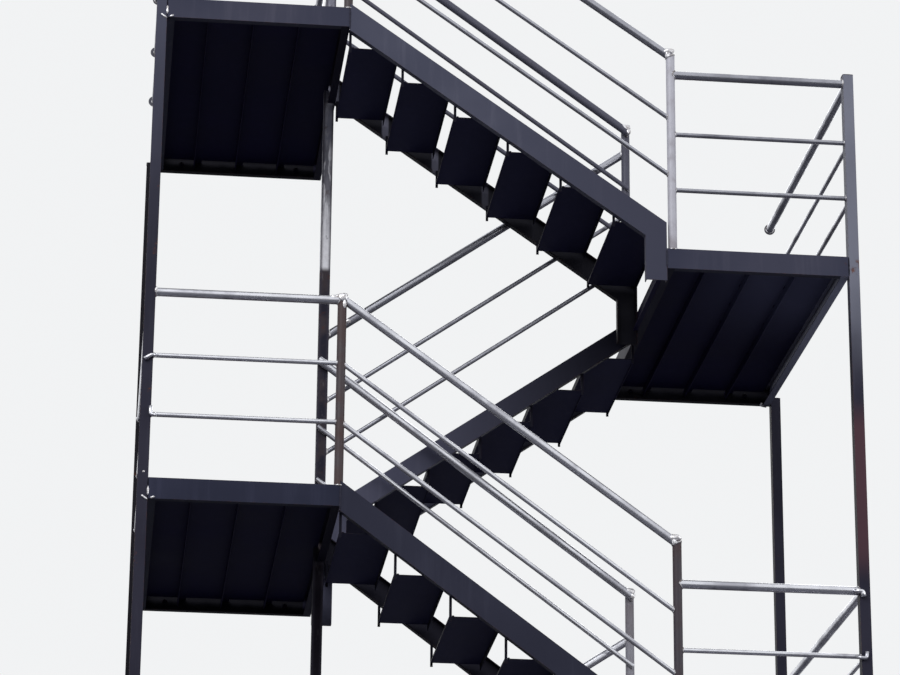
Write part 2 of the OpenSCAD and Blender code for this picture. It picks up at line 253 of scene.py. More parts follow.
def outward(points, tris):
    """Turns the triangles over if the closed skin holds a negative volume."""
    a, b, c = (points[tris[:, k]] - points.mean(0) for k in range(3))
    return points, tris if np.einsum("ij,ij->", a, np.cross(b, c)) > 0 else tris[:, ::-1]


def turns(n):
    """n even steps of one whole turn."""
    return np.linspace(0, 2 * math.pi, n, endpoint=False)


def circle(direction, steps):
    """Unit vector d along a direction, and points e cos u + f sin u of the unit circle round it,
    where e and f are square to d and to each other."""
    d = np.asarray(direction, float)
    d = d / np.linalg.norm(d)
    e = np.cross(d, (0, 1, 0) if abs(d[1]) < 0.9 else (1, 0, 0))
    e /= np.linalg.norm(e)
    u = turns(steps)[:, None]
    return d, np.cos(u) * e + np.sin(u) * np.cross(d, e)


def ripple(n, waves, seed):
    """Uneven thickness of a weld: 1 + two sines of different pitch, with a phase from the seed."""
    t = turns(n)
    return 1 + 0.16 * np.sin(waves * t + seed) + 0.10 * np.sin(3 * t + 2.3 * seed)


def meet_plane(normal, offset):
    """Distance along d from points p to the plane where normal . x = offset."""
    normal = np.asarray(normal, float)
    return lambda p, d: (offset - p @ normal) / (d @ normal)


def meet_tube(x, y, radius):
    """Distance along d from points p to an upright tube: the nearer root of the quadratic."""
    def reach(p, d):
        q = p[:, :2] - (x, y)
        a = d[:2] @ d[:2]
        b = q @ d[:2]
        c = (q * q).sum(1) - radius * radius
        return (-b - np.sqrt(np.maximum(b * b - a * c, 0))) / a
    return reach


def saddle_weld(point, direction, radius, meet, bead, seed):
    """Bead round a tube's end. Its middle line is the tube's wall run on to what it meets,
    c(u) = p + r o(u) + s(u) d with o = e cos u + f sin u, and the bead is the ring of points
    c + b (o cos v + d sin v) round it, with b rippled."""
    d, out = circle(direction, RING_STEPS)
    wall = np.asarray(point, float) + radius * out
    line = wall + meet(wall, d)[:, None] * d
    v = turns(BEAD_STEPS)[None, :, None]
    size = (bead * ripple(RING_STEPS, 9, seed))[:, None, None]
    return ring(line[:, None] + size * (np.cos(v) * out[:, None] + np.sin(v) * d))


def hoop(centre, normal, radius, bead, seed):
    """Bead round a bend: a saddle weld whose wall isn't run on."""
    return saddle_weld(centre, normal, radius, lambda p, d: np.zeros(len(p)), bead, seed)


def line_weld(p, q, bead, seed):
    """Straight bead from p to q: a rippled circle of radius b (1 - 0.75 t^8) along the line."""
    p, q = np.asarray(p, float), np.asarray(q, float)
    n = int(max(7, min(26, np.linalg.norm(q - p) / 0.008)))
    t = np.linspace(-1, 1, n)
    size = bead * ripple(n, n / 3, seed) * (1 - 0.75 * t ** 8)
    line = (p + q) / 2 + t[:, None] * (q - p) / 2
    return loft(line[:, None] + size[:, None, None] * circle(q - p, BEAD_STEPS)[1])


def lump(centre, radii, seed):
    """Lump of weld metal: an ellipsoid whose radius swings by sin(3u + seed) sin(2v)."""
    u = turns(ROUND_STEPS)[None]
    v = np.linspace(0.12, math.pi - 0.12, LUMP_ROWS)[:, None]
    size = 1 + 0.16 * np.sin(3 * u + seed) * np.sin(2 * v)
    across = size * np.sin(v)
    shape = np.stack([across * np.cos(u), across * np.sin(u), size * np.cos(v)], -1)
    return loft(np.asarray(centre, float) + shape * np.asarray(radii, float))


def bent_bar(corners, radius):
    """Bar along a line of corner points, each corner rounded by the curve
    (1-t)^2 a + 2 t (1-t) c + t^2 b between points a, b at a share of its two sides."""
    share = 0.35
    corners = np.asarray(corners, float)
    path = [corners[0]]
    t = np.linspace(0, 1, 7)[:, None]
    for a, c, b in zip(corners, corners[1:], corners[2:]):
        a, b = c + share * (a - c), c + share * (b - c)
        path += list((1 - t) ** 2 * a + 2 * t * (1 - t) * c + t ** 2 * b)
    path = np.array(path + [corners[-1]])
    ahead = np.gradient(path, axis=0)
    ahead /= np.linalg.norm(ahead, axis=1)[:, None]
    e = np.cross(ahead, (0.3, 0.5, 0.8))
    e /= np.linalg.norm(e, axis=1)[:, None]
    f = np.cross(ahead, e)
    u = turns(ROUND_STEPS)[None, :, None]
    return loft(path[:, None] + radius * (np.cos(u) * e[:, None] + np.sin(u) * f[:, None]))


def turned(profile, centre, axis, sides):
    """Solid of revolution: (height, radius) pairs carried round an axis. Six sides make a nut."""
    d, out = circle(axis, sides)
    h, r = np.array(profile, float).T
    return loft(np.asarray(centre, float) + h[:, None, None] * d + r[:, None, None] * out)


def pad(middle, rows):
    """Flat lid with round corners: rows of (height, half width), each a superellipse
    |x|^8 + |y|^8 = h^8."""
    c, q = np.cos(turns(32)), np.sin(turns(32))
    reach = (np.abs(c) ** 8 + np.abs(q) ** 8) ** (-1 / 8)
    z, h = np.array(rows, float).T
    flat = h[:, None] * reach
    high = np.broadcast_to(z[:, None], flat.shape)
    return loft(np.stack([middle[0] + flat * c, middle[1] + flat * q, high], -1))


def bolt(centre, axis, d):
    """Washer, nut and rounded stud of thread diameter d, standing on a face."""
    washer = ((0, d), (d * .18, d), (d * .2, d * .95))
    nut = ((d * .2, d * .88), (d * .25, d * .92), (d * .9, d * .92), (d, d * .86))
    stud = ((d * .9, d * .5), (d * 1.7, d * .5), (d * 1.82, d * .4))
    return [turned(profile, centre, axis, sides)
            for profile, sides in ((washer, 18), (nut, 6), (stud, 12))]


def chequer(low, high, z, pitch, height):
    """Raised lozenges on a flat plate: a point grid of the given pitch, each cell turned a
    quarter from its neighbours; a lozenge is a six-sided foot under a short ridge."""
    nx = int((high[0] - low[0]) / pitch)
    ny = int((high[1] - low[1]) / pitch)
    gx, gy = np.meshgrid(np.arange(nx), np.arange(ny), indexing="ij")
    x = (low[0] + high[0]) / 2 + (gx.ravel() - (nx - 1) / 2) * pitch
    y = (low[1] + high[1]) / 2 + (gy.ravel() - (ny - 1) / 2) * pitch
    turn = np.where((gx + gy).ravel() % 2, math.pi / 4, -math.pi / 4)
    a, w = 0.36 * pitch, 0.11 * pitch
    shape = np.array([(-a, 0, 0), (-a / 2, -w, 0), (a / 2, -w, 0), (a, 0, 0), (a / 2, w, 0),
                      (-a / 2, w, 0), (-a * .45, 0, 1), (a * .45, 0, 1)])
    c, s = np.cos(turn)[:, None], np.sin(turn)[:, None]
    px = x[:, None] + c * shape[:, 0] - s * shape[:, 1]
    py = y[:, None] + s * shape[:, 0] + c * shape[:, 1]
    pz = np.broadcast_to(z - CHEQUER_SUNK + shape[:, 2] * (height + CHEQUER_SUNK), px.shape)
    tri = np.array([(0, 1, 6), (1, 2, 7), (1, 7, 6), (2, 3, 7), (3, 4, 7), (4, 5, 6), (4, 6, 7),
                    (5, 0, 6), (0, 5, 1), (5, 4, 1), (4, 2, 1), (4, 3, 2)])
    tris = (np.arange(len(x))[:, None, None] * len(shape) + tri).reshape(-1, 3)
    return np.stack([px, py, pz], -1).reshape(-1, 3), tris


def piece(name, parts, finish, smooth=True):
    """One mesh object out of many closed skins, with its finish; it rides on the frame."""
    if not parts:
        raise RuntimeError(f"{name} has no surfaces")
    starts = np.cumsum([0] + [len(p) for p, _ in parts[:-1]])
    points = np.concatenate([p for p, _ in parts]).astype(np.float32)
    tris = np.concatenate([t + s for (_, t), s in zip(parts, starts)]).astype(np.int32)
    mesh = bpy.data.meshes.new(name)
    mesh.vertices.add(len(points))
    mesh.vertices.foreach_set("co", points.ravel())
    mesh.loops.add(tris.size)
    mesh.loops.foreach_set("vertex_index", tris.ravel())
    mesh.polygons.add(len(tris))
    mesh.polygons.foreach_set("loop_start", np.arange(0, tris.size, 3, dtype=np.int32))
    mesh.polygons.foreach_set("use_smooth", np.full(len(tris), smooth))
    mesh.update(calc_edges=True)
    mesh.validate()
    mesh.materials.append(material(finish))
    made = bpy.data.objects.new(name, mesh)
    bpy.context.scene.collection.objects.link(made)
    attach(made, "root")


# Materials

class Shade:
    """One shader value. Arithmetic on it adds Math nodes, and node() adds any other node."""

    def __init__(self, tree, socket=None):
        self.tree, self.socket = tree, socket

    def node(self, kind, settings=None, sockets=None, out=0):
        """Adds a node: its settings first, then the values or links of its sockets."""
        made = self.tree.nodes.new("ShaderNode" + kind)
        for key, value in (settings or {}).items():
            setattr(made, key, value)
        for key, value in (sockets or {}).items():
            if isinstance(value, Shade):
                self.tree.links.new(value.socket, made.inputs[key])
            else:
                made.inputs[key].default_value = value
        return Shade(self.tree, made.outputs[out] if made.outputs else None)

    def math(self, operation, *values, clamp=False):
        """Math node on the given values alone."""
        settings = {"operation": operation, "use_clamp": clamp}
        return self.node("Math", settings, dict(enumerate(values)))

    def __add__(self, other):
        return self.math("ADD", self, other)

    def __sub__(self, other):
        return self.math("SUBTRACT", self, other)

    def __rsub__(self, other):
        return self.math("SUBTRACT", other, self)

    def __mul__(self, other):
        return self.math("MULTIPLY", self, other)

    def __truediv__(self, other):
        return self.math("DIVIDE", self, other)

    def __abs__(self):
        return self.math("ABSOLUTE", self)

    __radd__, __rmul__ = __add__, __mul__

    def clip(self):
        return self.math("ADD", self, 0.0, clamp=True)

    def step(self, low, high):
        """0 below low, 1 above high, and smooth between."""
        return self.node("MapRange", {"interpolation_type": "SMOOTHSTEP"},
                         {"Value": self, "From Min": low, "From Max": high})

    def until(self, low, high):
        """1 below low, 0 above high, and smooth between."""
        return 1 - self.step(low, high)

    def band(self, low, high, soft=0.02):
        """1 between low and high with a soft start and end, and 0 outside."""
        return self.step(low - soft, low) * self.until(high, high + soft)

    def near(self, place, reach):
        """1 within a short reach of a place, and 0 elsewhere."""
        return self.math("COMPARE", self, place, reach)

    def axis(self, name):
        return self.node("SeparateXYZ", None, {0: self}, out=name)

    x, y, z = (property(lambda self, name=name: self.axis(name)) for name in "XYZ")

    def stretched(self, x, y, z):
        return self.node("VectorMath", {"operation": "MULTIPLY"}, {0: self, 1: (x, y, z)})

    def noise(self, scale, detail=3.0, rough=0.5):
        return self.node("TexNoise", {"noise_dimensions": "3D"},
                         {"Vector": self, "Scale": scale, "Detail": detail, "Roughness": rough})

    def mix(self, low, high):
        """Colour mix with this value as the share of the second colour."""
        return self.node("Mix", {"data_type": "RGBA"}, {"Factor": self, 6: low, 7: high}, out=2)


def rgb(*screen):
    """Linear colour with alpha from the 0-255 numbers of a screen colour."""
    return tuple(((c / 255 + 0.055) / 1.055) ** 2.4 if c > 10 else c / 255 / 12.92
                 for c in screen) + (1.0,)


def cleared(owner):
    """Shade of a material or world without its first nodes."""
    owner.use_nodes = True
    owner.node_tree.nodes.clear()
    return Shade(owner.node_tree)


def begin(name):
    """A new material, and the place on its piece as a Shade."""
    made = bpy.data.materials.new(name)
    return made, cleared(made).node("TexCoord", out="Object")


def close(made, at, colour, rough, metal, height, bump, distance=0.002, shine=0.5):
    """Principled shader with its varying colour, roughness, metal and height."""
    bumps = at.node("Bump", None, {"Height": height, "Strength": bump, "Distance": distance})
    surface = at.node("BsdfPrincipled", None,
                      {"Base Color": colour, "Roughness": rough, "Metallic": metal,
                       "Normal": bumps, "Specular IOR Level": shine})
    at.node("OutputMaterial", None, {"Surface": surface})
    return made


def worn_edge(at, radius):
    """1 on sharp edges: how far a rounded normal leans from the true one."""
    soft = at.node("Bevel", {"samples": 4}, {"Radius": radius})
    dot = at.node("VectorMath", {"operation": "DOT_PRODUCT"}, {0: soft, 1: normal(at)}, "Value")
    return (1 - dot).step(0.02, 0.22)


def normal(at):
    """The surface normal, without the bumps."""
    return at.node("NewGeometry", out="Normal")


def weathered_paint(name, rust, paint, washed, dust, rust_share, wear, tones, shine):
    """Old site paint: cloudy colour, washed runs down it, dust on top faces, rust that starts
    at edges and in patches, and a slight roller texture. Tones lists (mask, colour) pairs for
    the places with painted shade, painted light or a paler or darker colour; a mask is a
    function of the place and a cloud."""
    made, at = begin(name)
    cloud = at.noise(1.7, 4)
    runs = at.stretched(9, 9, 0.7).noise(2.2, 5, 0.6)
    patch = at.noise(5.5, 8, 0.65)
    up = normal(at).z.step(0.3, 0.95)
    colour = (cloud.step(0.35, 0.7) * 0.6 + runs.step(0.5, 0.75) * 0.5).clip().mix(paint, washed)
    for mask, tone in tones:
        colour = mask(at, cloud).clip().mix(colour, tone)
    settled = up * (0.2 + 0.8 * at.noise(7, 5).step(0.35, 0.68))
    colour = settled.clip().mix(colour, dust)
    chips = (worn_edge(at, 0.006) * at.noise(38, 4).step(0.42, 0.6) * wear).clip()
    rusty = (patch.step(0.78 - rust_share, 0.86 - rust_share) + chips * 0.8).clip()
    rust_tone = at.noise(60, 4).step(0.35, 0.7).mix(rust, rgb(112, 68, 46))
    colour = rusty.mix(colour, rust_tone)
    rough = (0.44 + 0.22 * cloud + 0.3 * rusty + 0.2 * up).clip()
    height = 0.35 * at.noise(240, 2) + 0.6 * at.noise(160, 3) * rusty + 0.5 * runs
    return close(made, at, colour, rough, (1 - rusty) * 0.1, height, 0.22, shine=shine)


def bare_pipe(name, rust, bright, dull, rust_share, patches):
    """Bare tube: bright where hands rub it, dull oxide in clouds and specks of rust, and painted
    discs at the wall. Patches lists (x, reach, y, reach, colour, rust) for the tubes that are
    painted or burnt, and for tubes darkened with painted shade."""
    made, at = begin(name)
    cloud = at.noise(3.1, 5, 0.6)
    scuff = at.noise(14, 4)
    speck = at.noise(46, 6, 0.7)
    oxide = (cloud.step(0.4, 0.68) * 0.75 + scuff.step(0.5, 0.8) * 0.35).clip()
    rusty = (speck.step(0.72 - rust_share, 0.84 - rust_share) * (0.2 + 0.6 * oxide)).clip()
    colour, metal, matt = oxide.mix(bright, dull), 0.95 - 0.22 * oxide, 0.0
    for x, reach_x, y, reach_y, tone, rusted in patches:
        there = at.x.near(x, reach_x) * at.y.near(y, reach_y)
        stained = (rusted * (0.75 * oxide + 0.3 * scuff)).clip().mix(tone, rust)
        colour = there.mix(colour, stained)
        metal = metal * (1 - 0.9 * there)
        matt = matt + 0.3 * there
    disc = at.y.step(WALL_Y - DISC_T - 0.0012, WALL_Y - DISC_T - 0.0002)
    colour = rusty.mix(disc.mix(colour, rgb(62, 62, 74)), rust)
    metal = metal * (1 - 0.9 * disc)
    rough = (0.22 + 0.16 * oxide + 0.4 * rusty + 0.08 * at.noise(80, 3) + matt).clip()
    height = 0.3 * scuff + 0.5 * speck * rusty
    return close(made, at, colour, rough, (metal * (1 - 0.8 * rusty)).clip(), height, 0.08, 0.001)


def scraped_paint(name):
    """Post whose old paint is scraped off in patches, and darker along the side edges of its
    street and wall faces. Going up, it is near black with painted shade below 7 m, then dark
    primer, then pale paint below the top landing that is worn in streaks towards its upper end,
    and pale grey above."""
    made, at = begin(name)
    z = at.z
    above_painted_shade, upper = z.step(7.0, 7.1), z.step(9.62, 9.72)
    flakes = at.stretched(6, 6, 1.6).noise(4.5, 7, 0.62)
    cloud = flakes.step(0.4, 0.6)
    corner = abs(at.x - COLUMN_X).step(0.010, 0.029) * abs(normal(at).y).step(0.5, 0.9)
    streak = at.stretched(1, 1, 0.12).noise(42, 3, 0.6).step(0.46, 0.53)
    worn = (0.25 * z.step(9.04, 9.14) + 0.6 * z.step(9.2, 9.4)) * streak
    painted = z.step(8.85, 8.89) * (1 - upper) * flakes.step(0.30, 0.40) * (1 - worn)
    kept = (flakes.step(0.58, 0.64) * (0.06 + 0.3 * upper) + painted).clip()
    primer = at.noise(8, 5).step(0.4, 0.62).mix(rgb(34, 33, 46), rgb(60, 53, 58))
    ground = z.step(8.89, 9.0).mix(primer, cloud.mix(rgb(70, 70, 84), rgb(94, 93, 106)))
    ground = upper.mix(ground, cloud.mix(rgb(128, 128, 142), rgb(160, 159, 170)))
    # Painted shade below 7 m: near black, with less pale paint and no rust
    ground = (1 - above_painted_shade).mix(ground, rgb(22, 17, 28))
    pale = at.noise(30, 4).mix(rgb(250, 250, 255), rgb(214, 212, 218))
    colour = (kept * (0.35 + 0.65 * above_painted_shade)).mix(ground, pale)
    colour = (corner * (0.45 + 0.8 * flakes)).clip().mix(colour, rgb(56, 53, 64))
    rusty = (at.noise(21, 7, 0.7).step(0.56, 0.66) * (1 - kept * 0.8) * above_painted_shade).clip()
    colour = (rusty * 0.45).clip().mix(colour, rgb(88, 58, 50))
    rough = (0.5 + 0.3 * rusty + 0.1 * flakes).clip()
    height = flakes * 0.8 + at.noise(120, 3) * 0.4
    return close(made, at, colour, rough, 0.1 * (1 - kept), height, 0.35, shine=0.12)


def weld_metal(name, bright, dark):
    """Weld bead: silvery crests with brown oxide between the ripples."""
    made, at = begin(name)
    burnt = at.noise(70, 5, 0.6).step(0.42, 0.66)
    rough, metal = (0.34 + 0.35 * burnt).clip(), 0.85 - 0.6 * burnt
    return close(made, at, burnt.mix(bright, dark), rough, metal, at.noise(300, 3), 0.3, 0.001)


def zinc(name):
    """Plated fasteners with white rust."""
    made, at = begin(name)
    bloom = at.noise(90, 5, 0.6).step(0.45, 0.7)
    colour = bloom.mix(rgb(150, 152, 158), rgb(112, 104, 98))
    rough, metal = (0.35 + 0.35 * bloom).clip(), 0.9 - 0.5 * bloom
    return close(made, at, colour, rough, metal, at.noise(400, 2), 0.2, 0.0005)


# Masks of the painted finishes, 0 to 1 or a little over, from the place and a cloud

def shaded_end_web(at, cloud):
    """The face of the channel that closes a landing towards its flights, darkened with painted
    shade from the stringers.
    """
    web = abs(at.x).near(HEAD_X + FLANGE / 2, FLANGE / 2 + 0.003)
    return web * at.y.step(FRONT_Y + 0.006, FRONT_Y + 0.008)


# Painted shade on the wall side of a landing frame
def shaded_rear_channel(at, cloud):
    return at.y.step(WALL_Y - 0.06, WALL_Y - 0.05)


def lit_outer_flange(at, cloud):
    """Underside of the channel at the right end of a landing, with painted light from the
    surroundings, paler towards the street.
    """
    flange = at.x.step(END_X - FLANGE - 0.004, END_X - FLANGE)
    return normal(at).z.until(-0.9, -0.5) * flange * (1 - 0.55 * at.y.step(-0.4, 1.1))


def front_inner(y):
    """The inner stringer of the front lane."""
    return y.band(FRONT_Y + LANE_W - 0.06, FRONT_Y + LANE_W + 0.01)


def inner_stringer(at, cloud):
    """The stringer of each lane that the other one shades."""
    y = at.y
    return (front_inner(y) + y.step(WALL_Y - 0.09, WALL_Y - 0.07)) * 0.95


def daylit_web(at, cloud):
    """The inner web of the top flight where daylight comes down between two treads."""
    x = at.x
    beat = (x + HEAD_X) / GOING
    beside = beat.math("PINGPONG", beat, 0.5).until(0.045, 0.085)
    return beside * front_inner(at.y) * x.until(-0.5, 0.4)


def top_flight_foot(at, cloud):
    return at.x.step(-0.3, 0.9) * 0.9


# Painted shadow of the right landing above on a rear flight's stringers, deeper towards their head
def shadowed_rear_flight_head(at, cloud):
    return (at.x + 0.3 * cloud).step(-0.8, 1.0)


def post_top(at, cloud):
    return at.z.step(8.3, 10.5) * (0.6 + 0.6 * cloud)


def street_right(at):
    """Where the right front post stands."""
    return at.x.step(1.0, 1.8) * at.y.until(-0.9, -0.6)


# The right front post, paler higher up
def paler_high_right_post(at, cloud):
    high = (at.z + 0.3 * cloud).step(8.0, 8.7)
    return street_right(at) * high * (0.55 + 0.7 * cloud)


# Dark red band on the right front post: painted shade with red light reflected from the
# surroundings
def painted_red_reflection(at, cloud):
    return street_right(at) * at.z.band(6.95, 7.62, 0.22) * (0.55 + 0.6 * cloud)


# Painted shade on the left rear post by the wall
def shaded_left_rear_post(at, cloud):
    return at.x.until(-1.0, 0.0) * at.y.step(0.9, 1.0)


def left_face(at, cloud):
    """Side of a post away from the daylight, less dark high up."""
    return normal(at).x.until(-0.9, -0.5) * (0.9 - 0.45 * at.z.step(7.9, 8.9))


# Faces other than undersides keep plain dark steel; the blue of the undersides is painted shade
def not_shaded_underside(at, cloud):
    return normal(at).z.step(-0.7, -0.3)


def bearer_side(at, cloud):
    return abs(normal(at).y).step(0.3, 0.7)


def lit_right_underside(at, cloud):
    """Deck of a right landing, with painted light that grows towards the street and the outer end.
    """
    return at.x.step(0.9, 2.0) * at.y.until(-1.2, 0.5) * 1.9


# Finishes. "paint", "pipe" and "underside" stand for the colours in the panel.
DUST, GRIT, DARK_STEEL = rgb(128, 122, 116), rgb(104, 98, 92), rgb(24, 24, 34)
WASHED_STEEL, PALE, DRAB = rgb(36, 33, 68), rgb(230, 231, 238), rgb(150, 150, 160)
SHADED_DULL, BROWN = rgb(112, 112, 122), rgb(62, 56, 62)
# Painted shade on the wall side and the end web of a frame, painted light on its outer flange
FRAME_TONES = ((shaded_rear_channel, rgb(11, 10, 22)), (shaded_end_web, rgb(26, 24, 46)),
               (lit_outer_flange, rgb(158, 161, 182)))
STRINGER_TONES = ((inner_stringer, rgb(17, 16, 30)),)
TOP_STRINGER_TONES = ((top_flight_foot, rgb(62, 63, 79)), (inner_stringer, rgb(9, 8, 19)),
                      (daylit_web, rgb(104, 104, 120)))
SHADED_STRINGER_TONES = ((shadowed_rear_flight_head, rgb(10, 10, 26)), (inner_stringer, rgb(20, 19, 36)))
POST_TONES = ((post_top, rgb(74, 76, 93)), (paler_high_right_post, rgb(126, 128, 142)),
              (painted_red_reflection, rgb(82, 54, 62)), (shaded_left_rear_post, rgb(14, 12, 22)),
              (left_face, rgb(20, 18, 30)))
TREAD_TONES = ((not_shaded_underside, DARK_STEEL),)
DECK_TONES = ((bearer_side, DARK_STEEL), (lit_right_underside, rgb(84, 86, 114)))

# Paint, washed paint, dust, share of rust, wear of edges, tones, shine
PAINTS = {
    "frame_paint": (rgb(32, 35, 54), rgb(48, 50, 70), DUST, 0.08, 0.5, FRAME_TONES, 0.15),
    # Paler paint for the frames of the two top landings
    "faded_paint": (rgb(52, 54, 72), rgb(70, 70, 86), DUST, 0.10, 0.6, FRAME_TONES, 0.15),
    "stringer_paint": ("paint", rgb(51, 52, 68), GRIT, 0.04, 0.5, STRINGER_TONES, 0.15),
    "top_stringer_paint": (
        rgb(68, 70, 87), rgb(86, 87, 103), GRIT, 0.04, 0.5, TOP_STRINGER_TONES, 0.15),
    "shaded_stringer_paint": (
        rgb(72, 73, 92), rgb(86, 86, 104), GRIT, 0.05, 0.5, SHADED_STRINGER_TONES, 0.15),
    "post_paint": (
        rgb(33, 32, 47), rgb(50, 49, 64), rgb(110, 100, 94), 0.14, 0.8, POST_TONES, 0.15),
    "deck_steel": ("underside", WASHED_STEEL, GRIT, 0.03, 0.2, DECK_TONES, 0.05),
    "tread_steel": (rgb(46, 46, 76), rgb(54, 54, 84), GRIT, 0.04, 0.2, TREAD_TONES, 0.05),
    "painted_weld": ("paint", rgb(84, 83, 92), rgb(120, 114, 108), 0.16, 0.6, (), 0.15),
    "under_weld": ("underside", WASHED_STEEL, GRIT, 0.06, 0.2, TREAD_TONES, 0.05),
}

# Patches of the tubes: x, reach, y, reach, colour, rust
AROUND = NEWEL_R + 0.0002
HEAD_POSTS = (-GUARD_POST_X, AROUND, GUARD_Y, AROUND, BROWN, 0.8)
# The last patch darkens the inner guard of the top flight with painted shade on rails seen against
# the sky
GREY_NEWELS = ((NEWEL_X, AROUND, GUARD_Y, AROUND, rgb(196, 196, 206), 0.7), HEAD_POSTS,
               (0, RUN, INNER_Y, 0.1, rgb(78, 79, 95), 0.15))
BROWN_POSTS = ((NEWEL_X, AROUND, GUARD_Y, AROUND, rgb(50, 48, 60), 0.7), HEAD_POSTS,
               (INNER_NEWEL_X, AROUND, INNER_Y, AROUND, DRAB, 0.6))

# Shaded pipe and pipe grey newels are the tube of the upper guards, darker as painted shade on
# backlit rails
# Bright and dull metal, share of rust, patches
PIPES = {
    "pipe_steel": (PALE, DRAB, 0.04, ()),
    "pipe_dull": ("pipe", SHADED_DULL, 0.05, ()),
    "pipe_grey_newels": ("pipe", SHADED_DULL, 0.05, GREY_NEWELS),
    "pipe_brown_posts": (PALE, DRAB, 0.05, BROWN_POSTS),
}
WELDS = {
    "weld": (rgb(206, 206, 210), rgb(104, 92, 88)),
    "bright_weld": (rgb(236, 236, 240), rgb(176, 170, 168)),
}
MATERIALS = {}


def material(key):
    """Makes each finish once, when a piece first asks for it."""
    if key not in MATERIALS:
        name = key.replace("_", " ").capitalize()
        chosen = bpy.context.scene.stair_colours
        rust = (*chosen.rust, 1.0)
        first, *others = PAINTS.get(key) or PIPES.get(key) or (None,)
        if isinstance(first, str):
            first = (*getattr(chosen, first), 1.0)
        if key in PAINTS:
            made = weathered_paint(name, rust, first, *others)
        elif key in PIPES:
            made = bare_pipe(name, rust, first, *others)
        elif key in WELDS:
            made = weld_metal(name, *WELDS[key])
        else:
            made = {"scraped_post": scraped_paint, "zinc": zinc}[key](name)
        MATERIALS[key] = made
    return MATERIALS[key]


# Where the joints are

def rail_ends():
    """(landing, point, direction into the joint, tube radius, what it meets) for rail ends."""
    ends = []
    for i in FLIGHTS:
        s = side(i)
        post_end = GUARD_POST_X if climbs_left(i) else NEWEL_X
        rear = WALL_Y - (DISC_T if i > 5 else POST_W)
        for j, r in enumerate(RAIL_R):
            z = FRAME_TOP[i] + LEVEL_RAIL_H[j]
            front, end = (s * (post_end + END_X) / 2, GUARD_Y, z), (s * POST_X, 0, z)
            found = [(front, (-s, 0, 0), meet_tube(s * post_end, GUARD_Y, NEWEL_R)),
                     (front, (s, 0, 0), meet_plane((s, 0, 0), END_X)),
                     (end, (0, -1, 0), meet_plane((0, -1, 0), -(FRONT_Y + POST_W))),
                     (end, (0, 1, 0), meet_plane((0, 1, 0), rear))]
            if i == 7:
                open_side, post = (COLUMN_X, 0.5, z), COLUMN_Y + POST_W / 2
                found += [(open_side, (0, -1, 0), meet_plane((0, -1, 0), -post)),
                          (open_side, (0, 1, 0), meet_plane((0, 1, 0), rear))]
            if climbs_left(i):
                a, b = rail_point(i, j, HEAD_POST), rail_point(i, j, FOOT_NEWEL)
                if j:
                    found.append(((a + b) / 2, a - b, meet_tube(a[0], a[1], NEWEL_R)))
                found.append(((a + b) / 2, b - a, meet_tube(b[0], b[1], NEWEL_R)))
            else:
                a, b = (inner_point(i, j, x, INNER_Y + RAIL_SIDE)
                        for x in (INNER_HEAD, RUN + COLUMN_IN))
                found += [((a + b) / 2, a - b, meet_tube(a[0], INNER_Y, NEWEL_R)),
                          ((a + b) / 2, b - a, meet_plane((-1, 0, 0), -b[0]))]
            ends += [(i, point, direction, r, meet) for point, direction, meet in found]
    return ends


def post_beads(i, bead):
    """Beads at the feet of a flight's head post and newel, and round the bends on top."""
    down = (0, 0, -1)
    beads = []
    for x, z in ((-GUARD_POST_X, FRAME_TOP[i]), (NEWEL_X, FRAME_TOP[i - 1])):
        beads.append(saddle_weld((x, GUARD_Y, z + 0.2), down, NEWEL_R, meet_plane(down, -z),
                                 bead * 1.2, i + x))
    head, foot = rail_point(i, 0, HEAD_POST), rail_point(i, 0, FOOT_NEWEL)
    slope = (foot - head) / np.linalg.norm(foot - head)
    bends = ((head, slope + (0, 0, 1)), (head, slope + (1, 0, 0)), (foot, (0, 0, 1) - slope))
    beads += [hoop(at, way, NEWEL_R, bead * 1.3, i + m) for m, (at, way) in enumerate(bends)]
    inner = inner_point(i, 0, INNER_FOOT, INNER_Y) + (0, 0, RAIL_R[0] - 0.004)
    return beads + [hoop(inner, (0, 0, 1), NEWEL_R - 0.001, bead, i)]


def lap_welds(i, bead):
    """Beads above and below each rail that lies on the street side of the middle post and of
    the newel between the lanes."""
    beads = []
    laps = ((-COLUMN_IN - COLUMN_LAP + 2 * INSET, -COLUMN_IN - 2 * INSET, LAP_Y),
            (INNER_FOOT - LAP_HALF, INNER_FOOT + LAP_HALF, LAP_Y - LAP_BACK))
    for j, r in enumerate(RAIL_R):
        for a, b, y in laps:
            for up in (-1, 1):
                p, q = (inner_point(i, j, x, y - 0.3 * r) + (0, 0, 0.88 * up * r) for x in (a, b))
                beads.append(line_weld(p, q, bead * 1.1, i + j + up))
    return beads


def bent_tips(i):
    """Bent ends of the level rails on a landing's front post. Landing 6 has none."""
    out, r = side(i), RAIL_R[1] * 0.8
    edge, face = out * (END_X + FACE_GAP), FRONT_Y - r - FACE_GAP
    bars = []
    for j, thick, path in () if i == 6 else LEFT_TIPS if climbs_left(i) else RIGHT_TIPS:
        z = FRAME_TOP[i] + LEVEL_RAIL_H[j]
        corners = [(edge + out * x, face, z + dz) for x, dz in path]
        corners[0] = (corners[0][0], GUARD_Y - 0.012, corners[0][2])
        bars.append(bent_bar(corners, r * thick))
    return bars


def lumps_at(place, rows, seed, step=1):
    """Weld lumps at (offset, half sizes) rows from a place."""
    return [lump(np.add(place, offset), radii, seed + step * m)
            for m, (offset, radii) in enumerate(rows)]


